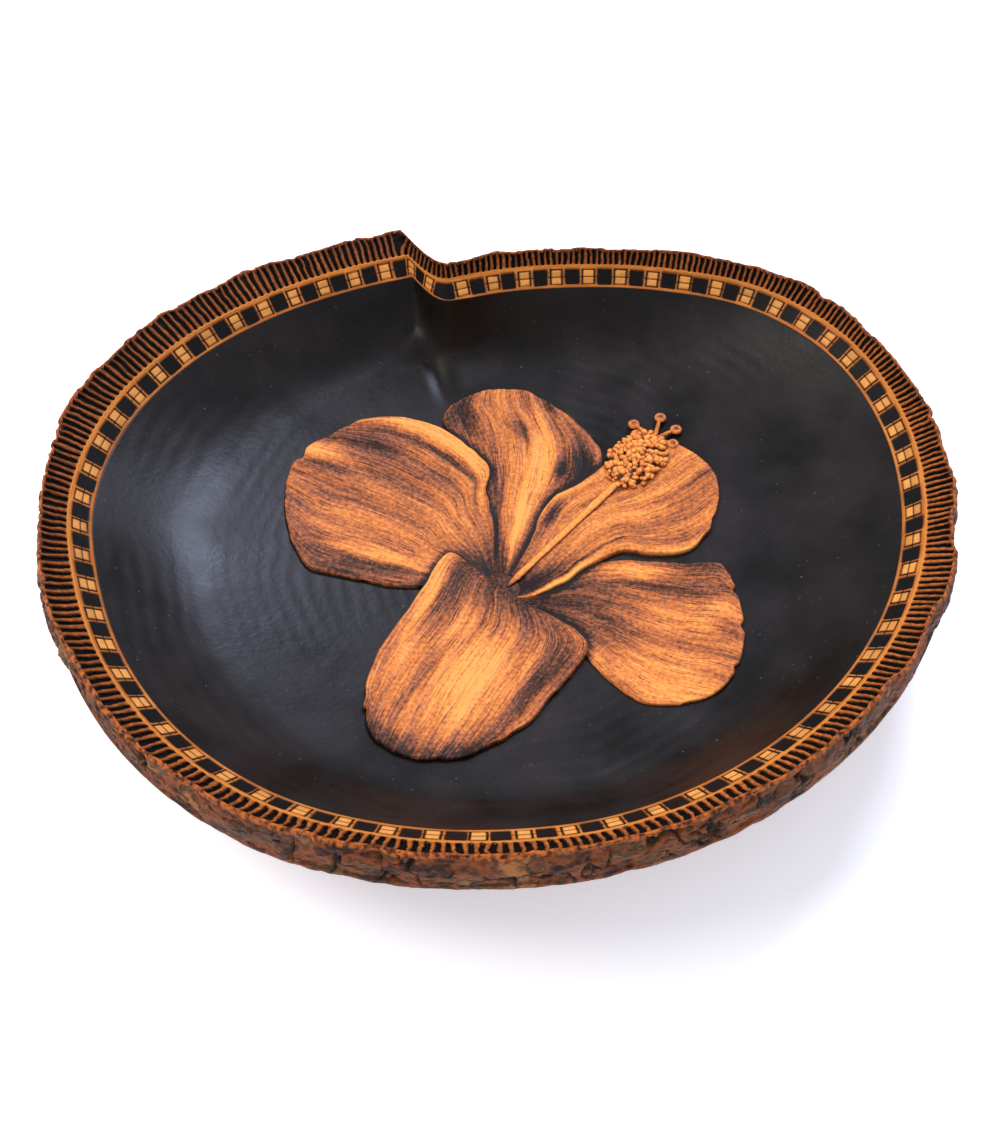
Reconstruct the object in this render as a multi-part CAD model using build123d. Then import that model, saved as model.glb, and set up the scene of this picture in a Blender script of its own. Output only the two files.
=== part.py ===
from build123d import *
import math
import os

# Oval dish carved from one slab of timber with its bark left on.
# Millimetres, +Z up, X along the long axis. The origin is under the middle of the bowl,
# on the flat that it rests on, and -Y is the front. Bearings are degrees from +X
# towards +Y about the Z axis.

# Driving dimensions

bowl_length = 400.0            # left to right over the bark
bowl_breadth = 345.0           # front to back over the bark
foot_share = 0.52              # flat foot, as a share of the rim's outline
floor_thickness = 12.0         # timber under the middle of the hollow
hollow_depth = 46.0            # from the foot of the check band down to the hollow's floor
floor_sphere_radius = 440.0    # the hollow's floor is a shallow cap of this radius
floor_margin = 16.0            # cap of the floor, beyond the flower's tips
wall_power = 1.35              # 1 is a straight wall, larger starts flatter

check_width = 7.7              # check band, across it in plan
check_drop = 7.3               # fall of the check band towards the hollow
check_depth = 3.0              # timber that the check band takes up, in plan
border_rise = 6.4              # rise of the fluted border out to the rim
rim_land = 1.0                 # plain timber between the flutes and the bark

bark_height = 22.0             # bark, from the rim down
bark_top = 1.6                 # bark thickness at the rim
bark_belly = 4.0               # bark thickness where it swells
bark_foot = 2.6                # bark thickness at its lower edge
bark_belly_drop = 9.0          # how far under the rim it swells

step_bearing = 104.0           # where the rim steps out
step_jump = 25.0               # how far the golden line steps out there
step_flare = 7.5               # how much wider the fluted border gets across the step
step_span_rim = 7.0            # bearings that the step takes up at the rim
step_span_floor = 110.0        # and at the foot of the wall, where it has faded out

flower_span = 212.0            # flower, tip to tip
petal_relief = 2.5             # petals, above the floor of the hollow
column_radius_throat = 3.0
column_radius_tip = 2.2
anther_length = 34.0           # cluster of anthers, along the column
anther_breadth = 28.0
anther_height = 5.5            # above the petals
pad_radius = 2.9               # stigma pads
style_radius_fork = 1.2        # thin branches that carry the pads, where they part
style_radius_pad = 0.9         # and at the pads
fork_radius = 1.6              # swelling where they part

# Radius of the golden line between the check band and the fluted border, and the
# border's width outside it, at every 15 degrees from +X, on a bowl 400 by 345.
# The step is left out of both and added by its own sizes.
golden_line = [187, 194, 198, 193, 178, 165, 157, 152, 155, 162, 170, 176,
               177, 173, 171, 169, 166, 162, 160, 161, 163, 167, 173, 180]
border_width = [12.5, 11, 10, 10.5, 10, 10.5, 10, 9.5, 10, 12, 12, 11,
                9.5, 8.5, 7.5, 6.5, 6, 6, 6, 6, 7.5, 8.5, 10, 11.5]
drawn_length = 400.0
drawn_breadth = 345.0

# Petals from the uppermost down, on a flower 212 across, about the bowl's middle: one edge
# from the throat to the shoulder, the tip from shoulder to shoulder, and the other edge.
drawn_span = 212.0
petals = {
    "petal_front": (
        [(-2, -12), (-14, -2), (-22, 4), (-28, 0), (-38, -21), (-50, -46), (-56, -66)],
        [(-57, -84), (-52, -99), (-41, -107), (-28, -110), (-15, -108), (0, -99)],
        [(8, -22), (24, -33), (35, -42), (38, -51), (32, -62), (23, -74), (13, -88)],
    ),
    "petal_back_right": (
        [(3, -11), (13, 10), (19, 27), (26, 38), (40, 46), (49, 54), (58, 63)],
        [(68, 67), (80, 66), (91, 59), (100, 48), (103, 34), (101, 21), (96, 10)],
        [(6, -20), (16, -19), (28, -13), (40, -4), (56, 4), (71, 1), (86, 1)],
    ),
    "petal_left": (
        [(-3, -7), (-3, 19), (-7, 42), (-6, 56), (-20, 71), (-35, 80), (-52, 83)],
        [(-70, 79), (-82, 70), (-94, 59), (-101, 44), (-101, 25), (-97, 6)],
        [(-5, -13), (-20, -14), (-37, -15), (-51, -15), (-64, -13), (-77, -11), (-88, -8)],
    ),
    "petal_back": (
        [(-2, -8), (-10, 15), (-15, 42), (-19, 58), (-24, 72), (-29, 84)],
        [(-25, 92), (-14, 99), (-2, 102), (12, 101), (24, 94), (36, 84)],
        [(6, -6), (22, 12), (33, 28), (43, 40), (49, 50), (50, 61), (45, 73)],
    ),
    "petal_right": (
        [(8, -18), (22, -10), (38, -2), (52, 0), (66, -2), (84, -6), (98, -8)],
        [(103, -16), (105, -32), (105, -48), (99, -68), (88, -80), (74, -84)],
        [(9, -25), (17, -33), (28, -44), (38, -56), (48, -71), (59, -81)],
    ),
}
column_throat = (3, -14)
column_tip = (56, 43)
anther_middle = (66, 56)
style_fork = (75, 66)
stigma_pads = [(66, 77), (79, 79), (86, 71), (67, 71), (84, 63)]

# Sizes that follow from those above

size_x = bowl_length / drawn_length
size_y = bowl_breadth / drawn_breadth
flower_size = flower_span / drawn_span
floor_z = floor_thickness
check_foot_z = floor_z + hollow_depth
golden_z = check_foot_z + check_drop
rim_z = golden_z + border_rise
bark_foot_z = rim_z - bark_height
bark_belly_z = rim_z - bark_belly_drop
floor_radius = flower_span / 2 + floor_margin
sphere_z = floor_z + floor_sphere_radius
wall_foot_z = sphere_z - math.sqrt(floor_sphere_radius**2 - floor_radius**2)

# Bearings of the outlines' points: even round the bowl, and close together over the step.
first_bearing = step_bearing + 12
bearings = [first_bearing + turn for turn in range(0, 337, 6)]
bearings += [step_bearing + 360 + turn for turn in (-9, -6, -4, -2.5, -1, 0, 1, 2.5, 4, 6, 9)]


def round_list(values, bearing):
    """Smooth closed curve through values at even bearings (Catmull-Rom)."""
    place = (bearing % 360) / 360 * len(values)
    index = int(place)
    part = place - index
    a, b, c, d = (values[(index + k) % len(values)] for k in (-1, 0, 1, 2))
    bend = part * (2 * a - 5 * b + 4 * c - d + part * (3 * b - a - 3 * c + d))
    return b + 0.5 * part * (c - a + bend)


def step(bearing, span):
    """-1/2 to 1/2 over the step, and evenly back again round the rest of the bowl."""
    turn = (bearing - step_bearing + 180) % 360 - 180
    rise = min(max(turn / span + 0.5, 0), 1)
    return rise * rise * (3 - 2 * rise) - 0.5 - turn / 360


def golden(bearing, span=step_span_rim):
    return round_list(golden_line, bearing) + step_jump * step(bearing, span)


def flute_end(bearing, span=step_span_rim):
    width = round_list(border_width, bearing) + step_flare * step(bearing, span)
    return golden(bearing, span) + width


def check_foot(bearing, span=step_span_rim):
    return golden(bearing, span) - check_width


def timber_edge(bearing):
    return flute_end(bearing) + rim_land


def outline(radius_at, z, round_share=0.0):
    """Closed smooth wire at height z, radius_at(bearing) from the Z axis, drawn in
    towards the floor's circle by round_share."""
    points = []
    for bearing in bearings:
        angle = math.radians(bearing)
        radius = radius_at(bearing) * (1 - round_share)
        x = (size_x * radius + floor_radius * round_share) * math.cos(angle)
        y = (size_y * radius + floor_radius * round_share) * math.sin(angle)
        points.append((x, y, z))
    return Wire([Edge.make_spline(points, periodic=True)])


def frustum(radius_low, z_low, radius_high, z_high):
    return Solid.make_loft([outline(radius_low, z_low), outline(radius_high, z_high)], True)


def prism(radius_at, z_low, z_high):
    return Solid.extrude(Face(outline(radius_at, z_low)), Vector(0, 0, z_high - z_low))


# Hollow: a shallow spherical floor, and a wall that carries the step up to the check band

floor_space = Solid.make_sphere(floor_sphere_radius).moved(Location((0, 0, sphere_z)))
floor_disc = Solid.make_cylinder(floor_radius, wall_foot_z)
floor_cap = floor_space & floor_disc

start = math.radians(first_bearing)
floor_edge_plane = Plane((0, 0, wall_foot_z), x_dir=(math.cos(start), math.sin(start), 0))
wall_sections = [Wire.make_circle(floor_radius, floor_edge_plane)]
for share in (0.35, 0.7, 1.0):
    span = step_span_rim + (1 - share) * (step_span_floor - step_span_rim)
    height = wall_foot_z + (check_foot_z - wall_foot_z) * share**wall_power
    wall_sections.append(outline(lambda b, w=span: check_foot(b, w), height, 1 - share))
hollow = Solid.make_loft(wall_sections, True) + floor_cap

# Underside: smooth from the flat foot out to the bark's lower edge

underside_sections = []
for level in (0, 0.15, 0.35, 0.6, 1.0):
    spread = foot_share + (1 - foot_share) * math.sin(math.pi / 2 * level) ** 0.9
    span = step_span_rim + (1 - level) * (step_span_floor - step_span_rim)
    underside_sections.append(
        outline(
            lambda b, s=spread, w=span: s * (flute_end(b, w) + rim_land + bark_foot),
            level * bark_foot_z,
        )
    )
underside = Solid.make_loft(underside_sections)

# Timber, divided into floor and wall where the floor's cap ends, rim and bark

pieces = {}
check_outer = frustum(
    lambda b: check_foot(b) + check_depth,
    check_foot_z,
    lambda b: golden(b) + check_depth,
    golden_z,
)
timber = underside + prism(timber_edge, bark_foot_z, golden_z)
carved = timber - check_outer - hollow
floor_block = Solid.make_cylinder(floor_radius, wall_foot_z)
pieces["bowl_floor"] = carved & floor_block
pieces["bowl_wall"] = carved - floor_block
pieces["check_border"] = check_outer - frustum(check_foot, check_foot_z, golden, golden_z)
pieces["fluted_border"] = prism(timber_edge, golden_z, rim_z) - frustum(
    golden, golden_z, flute_end, rim_z
)
bark_outside = frustum(
    lambda b: timber_edge(b) + bark_foot,
    bark_foot_z,
    lambda b: timber_edge(b) + bark_belly,
    bark_belly_z,
) + frustum(
    lambda b: timber_edge(b) + bark_belly,
    bark_belly_z,
    lambda b: timber_edge(b) + bark_top,
    rim_z,
)
pieces["bark_edge"] = bark_outside - prism(timber_edge, bark_foot_z, rim_z)

# Flower, in low relief on the floor

over_petals = floor_space.moved(Location((0, 0, petal_relief)))
blocks = []
for name, (edge_a, tip, edge_b) in petals.items():
    points = [
        (flower_size * x, flower_size * y, 0) for x, y in edge_a + tip + edge_b[::-1]
    ]
    throat = Edge.make_line(points[-1], points[0])
    block = Solid.extrude(
        Face(Wire([Edge.make_spline(points), throat])), Vector(0, 0, check_foot_z)
    )
    petal = (block & floor_space) - over_petals
    for upper_block in blocks:
        petal = petal - upper_block
    blocks.append(block)
    pieces[name] = petal


def flower_spot(spot):
    """A point of the flower as drawn, at the flower's own size."""
    return flower_size * spot[0], flower_size * spot[1]


def anther_spot(spot):
    """The same for what keeps its distance from the anthers' middle."""
    x, y = flower_spot(anther_middle)
    return x + spot[0] - anther_middle[0], y + spot[1] - anther_middle[1]


def over_floor(place, above):
    """Point at a height above the hollow's floor."""
    x, y = place
    z = sphere_z - math.sqrt(floor_sphere_radius**2 - x * x - y * y)
    return Vector(x, y, z + above)


def rod(start, end, radius_start, radius_end):
    run = end - start
    return Solid.make_cone(radius_start, radius_end, run.length, Plane(start, z_dir=run))


column = rod(
    over_floor(flower_spot(column_throat), petal_relief),
    over_floor(anther_spot(column_tip), petal_relief),
    column_radius_throat,
    column_radius_tip,
)
column_bearing = math.degrees(
    math.atan2(column_tip[1] - column_throat[1], column_tip[0] - column_throat[0])
)
cluster = scale(
    Solid.make_sphere(1), by=(anther_length / 2, anther_breadth / 2, anther_height)
)
cluster = cluster.moved(
    Location(over_floor(flower_spot(anther_middle), petal_relief), (0, 0, column_bearing))
)
pieces["anther_cluster"] = cluster & over_petals
pieces["staminal_column"] = (column & over_petals) - cluster

fork = over_floor(anther_spot(style_fork), petal_relief)
pads = Solid.make_sphere(fork_radius).moved(Location(fork))
for spot in stigma_pads:
    end = over_floor(anther_spot(spot), petal_relief)
    pads += rod(fork, end, style_radius_fork, style_radius_pad)
    pads += Solid.make_sphere(pad_radius).moved(Location(end))
pads = pads & floor_space
for covered in (cluster, pieces["petal_back_right"]):
    pads = pads - covered
pieces["stigma_pads"] = pads

# The bark is the widest piece: the origin goes under the middle of its box.
middle = pieces["bark_edge"].bounding_box().center()
centring = Location((-middle.X, -middle.Y, 0))

os.makedirs("parts", exist_ok=True)
for name, piece in pieces.items():
    export_step(piece.moved(centring), f"parts/{name}.step")
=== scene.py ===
import math

import bpy
import numpy as np
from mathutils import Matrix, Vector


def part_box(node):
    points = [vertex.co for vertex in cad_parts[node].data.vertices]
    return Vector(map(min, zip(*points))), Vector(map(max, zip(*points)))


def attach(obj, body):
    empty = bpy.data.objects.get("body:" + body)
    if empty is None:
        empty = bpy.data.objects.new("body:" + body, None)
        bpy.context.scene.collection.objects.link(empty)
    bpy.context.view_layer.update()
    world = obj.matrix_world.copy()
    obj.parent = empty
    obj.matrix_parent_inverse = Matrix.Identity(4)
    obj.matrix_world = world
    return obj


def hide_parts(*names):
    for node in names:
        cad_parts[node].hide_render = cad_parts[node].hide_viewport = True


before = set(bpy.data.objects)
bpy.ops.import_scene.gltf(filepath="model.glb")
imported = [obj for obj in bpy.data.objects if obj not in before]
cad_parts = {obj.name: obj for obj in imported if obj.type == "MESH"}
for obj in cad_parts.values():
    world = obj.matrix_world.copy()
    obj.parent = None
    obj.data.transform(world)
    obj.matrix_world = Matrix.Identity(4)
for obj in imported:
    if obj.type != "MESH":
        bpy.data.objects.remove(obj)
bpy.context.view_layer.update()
print("carved bowl: frame loaded, nodes", len(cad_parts))

# Lengths are millimetres about the upright axis of the hollow until a mesh is made.
# A bearing is degrees from +X towards +Y about that axis.
floorLow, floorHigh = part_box("bowl_floor")
axisX = (floorLow.x + floorHigh.x) / 2 * 1000
axisY = (floorLow.y + floorHigh.y) / 2 * 1000
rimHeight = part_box("bark_edge")[1].z * 1000
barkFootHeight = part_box("bark_edge")[0].z * 1000
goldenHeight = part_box("check_border")[1].z * 1000
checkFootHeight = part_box("check_border")[0].z * 1000


# Helpers for colours and nodes

def hexColour(code):
    # sRGB hex to linear: each channel over 12.92, or ((c + 0.055) / 1.055) to the power 2.4
    parts = np.array([int(code[k:k + 2], 16) for k in (1, 3, 5)]) / 255
    linear = np.where(parts <= 0.04045, parts / 12.92, ((parts + 0.055) / 1.055) ** 2.4)
    return (*linear.tolist(), 1.0)


def addNode(tree, kind, inputs=None, output=0, **settings):
    # one node, and the output wanted from it. An input, by name or number, is a value, a hex
    # colour or another node's output.
    node = tree.nodes.new("ShaderNode" + kind)
    for key, value in settings.items():
        setattr(node, key, value)
    for key, value in (inputs or {}).items():
        if isinstance(value, bpy.types.NodeSocket):
            tree.links.new(value, node.inputs[key])
        else:
            node.inputs[key].default_value = hexColour(value) if isinstance(value, str) else value
    return node.outputs[output]


def newMaterial(name, roughness, specular):
    material = bpy.data.materials.new(name)
    material.use_nodes = True
    tree = material.node_tree
    shader = tree.nodes["Principled BSDF"]
    shader.inputs["Roughness"].default_value = roughness
    shader.inputs["IOR"].default_value = 1.5
    shader.inputs["Specular IOR Level"].default_value = specular
    return material, tree, shader


def layColours(tree, colour, layers):
    # each layer covers those before it where its mask is 1; a mask is an output, or the name
    # of the mesh attribute that holds it
    for mask, cover in layers:
        if isinstance(mask, str):
            mask = addNode(tree, "Attribute", output="Fac", attribute_name=mask)
        colour = addNode(tree, "Mix", {0: mask, 6: colour, 7: cover}, 2, data_type="RGBA")
    return colour


def spreadColours(tree, value, stops):
    # colours spread along a value, from pairs of place and hex colour
    colour = addNode(tree, "ValToRGB", {0: value})
    elements = colour.node.color_ramp.elements
    for position, code in stops[1:-1]:
        elements.new(position)
    for element, (position, code) in zip(elements, stops):
        element.position, element.color = position, hexColour(code)
    return colour


def finishShader(tree, shader, colour, height, strength, depth):
    # the colour, and a relief of that depth in metres over the height
    tree.links.new(colour, shader.inputs["Base Color"])
    relief = addNode(tree, "Bump", {"Height": height, "Strength": strength, "Distance": depth})
    tree.links.new(relief, shader.inputs["Normal"])


# Helpers for shapes

randomTable = np.random.default_rng(4107).random(65536)


def softNoise(x, y, z, seed):
    # smooth random field, 0 to 1: a fixed random value at every whole-number point,
    # blended between the eight nearest with weights t*t*(3 - 2t)
    x, y, z = np.broadcast_arrays(x, y, z)
    corner = [np.floor(a).astype(np.int64) for a in (x, y, z)]
    part = [a - b for a, b in zip((x, y, z), corner)]
    part = [t * t * (3 - 2 * t) for t in part]
    total = np.zeros(x.shape)
    for dx in (0, 1):
        for dy in (0, 1):
            for dz in (0, 1):
                spot = (corner[0] + dx) * 73856093 + (corner[1] + dy) * 19349663
                spot = spot + (corner[2] + dz) * 83492791 + seed * 7919
                spot = (spot ^ (spot >> 11)) * 2246822519
                value = randomTable[(spot ^ (spot >> 15)) & 65535]
                weight = (part[0] if dx else 1 - part[0]) * (part[1] if dy else 1 - part[1])
                total += value * weight * (part[2] if dz else 1 - part[2])
    return total


def layeredNoise(x, y, z, seed, layers=4):
    # soft noise added up at doubled scale and halved strength, brought back to 0 to 1
    total, strength, whole = 0, 1.0, 0.0
    for layer in range(layers):
        total = total + strength * softNoise(x * 2**layer, y * 2**layer, z * 2**layer, seed + layer)
        whole += strength
        strength /= 2
    return total / whole


def smoothStep(low, high, value):
    # t*t*(3 - 2t), where t runs from 0 at low to 1 at high
    t = np.clip((value - low) / (high - low), 0, 1)
    return t * t * (3 - 2 * t)


def bump(value, centre, width):
    # 1 at the centre, falling off as exp(-t*t), t counted in widths
    return np.exp(-((value - centre) / width) ** 2)


def addObject(name, data):
    thing = bpy.data.objects.new(name, data)
    bpy.context.scene.collection.objects.link(thing)
    return thing


def buildMesh(name, points, quads, triangles=None):
    # points in millimetres about the hollow's axis go to metres in the shared frame
    placed = (points.reshape(-1, 3) + np.array([axisX, axisY, 0])) / 1000
    corners = quads.reshape(-1)
    starts = np.arange(len(quads)) * 4
    if triangles is not None:
        starts = np.concatenate([starts, len(corners) + np.arange(len(triangles)) * 3])
        corners = np.concatenate([corners, triangles.reshape(-1)])
    mesh = bpy.data.meshes.new(name)
    mesh.vertices.add(len(placed))
    mesh.vertices.foreach_set("co", placed.astype(np.float32).reshape(-1))
    mesh.loops.add(len(corners))
    mesh.loops.foreach_set("vertex_index", corners.astype(np.int32))
    mesh.polygons.add(len(starts))
    mesh.polygons.foreach_set("loop_start", starts.astype(np.int32))
    mesh.polygons.foreach_set("use_smooth", np.ones(len(starts), bool))
    mesh.update(calc_edges=True)
    mesh.validate()
    return addObject(name, mesh)


def ringQuads(rows, columns, closeRows):
    # rows run across, columns run round and meet again; closeRows joins the last row to the
    # first. The faces point out where the rows run from the inside over the top to the outside.
    row = np.arange(rows if closeRows else rows - 1)[:, None]
    column = np.arange(columns)[None, :]
    nextRow, nextColumn = (row + 1) % rows, (column + 1) % columns
    quads = np.stack([nextRow * columns + column, nextRow * columns + nextColumn,
                      row * columns + nextColumn, row * columns + column], -1)
    return quads.reshape(-1, 4)


def closedFaces(rows, columns):
    # quads between the rows, and a fan at each end to its pole; the poles are the last points
    column = np.arange(columns)
    after = (column + 1) % columns
    count = rows * columns
    last = count - columns
    firstFan = np.stack([np.full(columns, count), column, after], -1)
    lastFan = np.stack([np.full(columns, count + 1), last + after, last + column], -1)
    return ringQuads(rows, columns, False), np.concatenate([firstFan, lastFan])


def addAttribute(thing, name, values):
    layer = thing.data.attributes.new(name, "FLOAT", "POINT")
    layer.data.foreach_set("value", np.asarray(values, np.float32).reshape(-1))


def finishPiece(thing, material, nodes):
    thing.data.materials.append(material)
    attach(thing, "root")
    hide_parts(*nodes)
    print("made", thing.name, "faces", len(thing.data.polygons))


def makeRing(name, seen, hidden, masks, material, node):
    # a closed ring: the rows that are seen and those behind that close it. A mask is its name,
    # its values on the seen rows and its one value on the hidden rows.
    points = np.concatenate([seen, np.stack(hidden)])
    ring = buildMesh(name, points, ringQuads(*points.shape[:2], True))
    for mask, values, rest in masks:
        behind = np.full((len(hidden), points.shape[1]), rest)
        addAttribute(ring, mask, np.concatenate([values, behind]))
    finishPiece(ring, material, [node])


# Outline of the bowl in plan: a smooth oval with one step in it

outlineSizes = {
    "goldenLine": [187, 194, 198, 193, 178, 165, 157, 152, 155, 162, 170, 176,
                   177, 173, 171, 169, 166, 162, 160, 161, 163, 167, 173, 180],
    "borderWidth": [12.5, 11, 10, 10.5, 10, 10.5, 10, 9.5, 10, 12, 12, 11,
                    9.5, 8.5, 7.5, 6.5, 6, 6, 6, 6, 7.5, 8.5, 10, 11.5],
    "stepBearing": 103.2,
    "stepJump": 25.0,
    "stepFlare": 7.5,
    "stepSpanRim": 7.0,       # bearings that the step takes up at the rim
    "stepSpanFloor": 40.0,    # and where it has faded out
    "stepFade": 3.5,          # how late on the way down it opens out
    "stepCorner": 2.6,        # above 1 is a sharp outer corner and a soft inner one
    "checkWidth": 7.7,
    "rimLand": 1.0,
    "floorRadius": 122.0,
    "floorSphere": 440.0,
    "floorHeight": 12.0,
    "wallPower": 1.35,
    "footShare": 0.52,
    "barkFoot": 2.6,
    "fluteReach": 1.4,        # how far the grooves run out into the land at the edge
}


def roundList(values, bearing):
    # Catmull-Rom curve through values at even bearings
    values = np.array(values, float)
    place = (bearing % 360) / 360 * len(values)
    index = np.floor(place).astype(int)
    part = place - index
    a, b, c, d = (values[(index + k) % len(values)] for k in (-1, 0, 1, 2))
    bend = part * (2 * a - 5 * b + 4 * c - d + part * (3 * b - a - 3 * c + d))
    return b + 0.5 * part * (c - a + bend)


def stepShare(bearing, span):
    # share of the span to a power, -1/2 to 1/2 over the step, and evenly back round the rest
    turn = (bearing - outlineSizes["stepBearing"] + 180) % 360 - 180
    rise = np.clip(turn / span + 0.5, 0, 1)
    return rise ** outlineSizes["stepCorner"] - 0.5 - turn / 360


def goldenRadius(bearing, span=outlineSizes["stepSpanRim"]):
    base = roundList(outlineSizes["goldenLine"], bearing)
    return base + outlineSizes["stepJump"] * stepShare(bearing, span)


def fluteEndRadius(bearing, span=outlineSizes["stepSpanRim"]):
    width = roundList(outlineSizes["borderWidth"], bearing)
    flare = outlineSizes["stepFlare"] * stepShare(bearing, span)
    return goldenRadius(bearing, span) + width + flare


def raggedEdge(bearing):
    # mm that the rim's outline falls short of its smooth line: waves and small nicks
    x, y = 190 * np.cos(np.radians(bearing)), 190 * np.sin(np.radians(bearing))
    waves = smoothStep(0.34, 0.68, layeredNoise(x / 24, y / 24, 0 * x, 71, 5))
    nicks = smoothStep(0.62, 0.76, softNoise(x / 4.2, y / 4.2, 0 * x, 73))
    front = smoothStep(0.2, 0.8, -y / 190)
    return 0.45 + (2.6 * waves + 0.8 * nicks) * (1 - 0.6 * front)


def floorSurface(x, y):
    # shallow bowl of a large sphere
    sphere = outlineSizes["floorSphere"]
    return outlineSizes["floorHeight"] + sphere - np.sqrt(sphere**2 - x * x - y * y)


# Distance along the golden line, its slope, and bearings spaced evenly along it
fineBearing = np.linspace(0, 360, 14401)
fineRadius = goldenRadius(fineBearing)
fineX = fineRadius * np.cos(np.radians(fineBearing))
fineY = fineRadius * np.sin(np.radians(fineBearing))
fineSteps = np.hypot(np.diff(fineX), np.diff(fineY))
fineLength = np.concatenate([[0], np.cumsum(fineSteps)])
rimLength = fineLength[-1]
slopeRaw = np.diff(fineRadius) / fineSteps
slopeAround = np.concatenate([slopeRaw[-60:], slopeRaw, slopeRaw[:60]])
slopeSmooth = np.convolve(slopeAround, np.ones(121) / 121, "valid")      # mean of 3 degrees
slopeSmooth = np.append(slopeSmooth, slopeSmooth[0])


def lengthAt(bearing):
    return np.interp(bearing % 360, fineBearing, fineLength)


def slopeAt(bearing):
    return np.clip(np.interp(bearing % 360, fineBearing, slopeSmooth), -0.72, 0.72)


def evenBearings(count):
    return np.interp(np.arange(count) / count * rimLength, fineLength, fineBearing)


def ringPoints(bearing, radius, height):
    angle = np.radians(bearing)
    radius, height = np.broadcast_arrays(radius, height)
    return np.stack([radius * np.cos(angle), radius * np.sin(angle), height], -1)


# Materials

# Charred hardwood, scorched with a torch, brushed and oiled: satin black with a faint grey
# bloom, ash specks and pits. Outside, the same timber is bare and oiled.
def makeCharredTimber():
    material, tree, shader = newMaterial("charredOiledHardwood", 0.34, 0.15)
    place = addNode(tree, "TexCoord", output="Object")
    # soot bloom in patches about 30 mm across, which is also where the oil shines less
    bloom = addNode(tree, "TexNoise", {"Vector": place, "Scale": 32, "Detail": 5})
    bloomMask = addNode(tree, "MapRange", {0: bloom, 1: 0.35, 2: 0.7})
    gloss = addNode(tree, "MapRange", {0: bloom, 1: 0.3, 2: 0.7, 3: 0.27, 4: 0.4})
    tree.links.new(gloss, shader.inputs["Roughness"])
    # ash specks about 1 mm across, coarser than real ones so that they show
    speck = addNode(tree, "TexNoise", {"Vector": place, "Scale": 620, "Detail": 2})
    speckMask = addNode(tree, "MapRange", {0: speck, 1: 0.72, 2: 0.8, 4: 0.45})
    soot = layColours(tree, "#161412", [(bloomMask, "#272322"), (speckMask, "#8f877e")])
    # bare timber under the bowl: growth rings about 4 mm apart, drawn out along the slab
    stretch = addNode(tree, "Mapping", {"Vector": place, "Scale": (3, 26, 26)})
    grain = addNode(tree, "TexNoise",
                    {"Vector": stretch, "Scale": 9, "Detail": 6, "Distortion": 0.6})
    grainMask = addNode(tree, "MapRange", {0: grain, 1: 0.35, 2: 0.65})
    colour = layColours(tree, "#5e361b", [(grainMask, "#8f5c30"), ("charred", soot)])
    # pits about 2 mm, coarser than the real pores so that they show
    pit = addNode(tree, "TexNoise", {"Vector": place, "Scale": 420, "Detail": 4})
    finishShader(tree, shader, colour, pit, 0.22, 0.0003)
    return material


# Bare hardwood with squares and lines burnt in by a hot pen, oiled: golden wood, dull charcoal
# in the squares, thin dark lines with a soft brown edge
def makeBurntCheck():
    material, tree, shader = newMaterial("penBurntHardwood", 0.5, 0.12)
    place = addNode(tree, "TexCoord", output="Object")
    # fibres about 2 mm, coarser than real ones so that they show, and patches of paler wood
    # about 17 mm across
    fibre = addNode(tree, "TexNoise", {"Vector": place, "Scale": 520, "Detail": 4})
    fibreMask = addNode(tree, "MapRange", {0: fibre, 1: 0.3, 2: 0.75, 3: 0.35, 4: 0.0})
    patch = addNode(tree, "TexNoise", {"Vector": place, "Scale": 60, "Detail": 3})
    patchMask = addNode(tree, "MapRange", {0: patch, 1: 0.35, 2: 0.65})
    coal = layColours(tree, "#080707", [(fibre, "#191615")])
    colour = layColours(tree, "#c06a26", [
        (patchMask, "#e08a3a"), ("cell", "#f0a552"), (fibreMask, "#a8622c"),
        ("scorch", "#6e3a1a"), ("charcoal", coal), ("line", "#120c09")])
    finishShader(tree, shader, colour, fibre, 0.25, 0.0003)
    return material


# Hardwood gouged and burnt between ridges: black grooves, orange-brown ridges, golden at the
# line, and a darker skin where the border meets the bark
def makeBurntFlutes():
    material, tree, shader = newMaterial("gougedBurntHardwood", 0.6, 0.08)
    place = addNode(tree, "TexCoord", output="Object")
    # fibres about 2 mm, coarser than real ones so that they show
    fibre = addNode(tree, "TexNoise", {"Vector": place, "Scale": 560, "Detail": 4})
    fibreMask = addNode(tree, "MapRange", {0: fibre, 1: 0.35, 2: 0.7, 3: 0.6, 4: 0.0})
    rim = layColours(tree, "#7c4220", [(fibreMask, "#2a140a")])
    coal = layColours(tree, "#030202", [(fibre, "#120d0b")])
    colour = layColours(tree, "#5a2c14", [
        ("warmth", "#c87030"), (fibreMask, "#4a2816"), ("bare", "#d8883a"),
        ("rimWood", rim), ("groove", coal)])
    finishShader(tree, shader, colour, fibre, 0.35, 0.0004)
    return material


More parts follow.
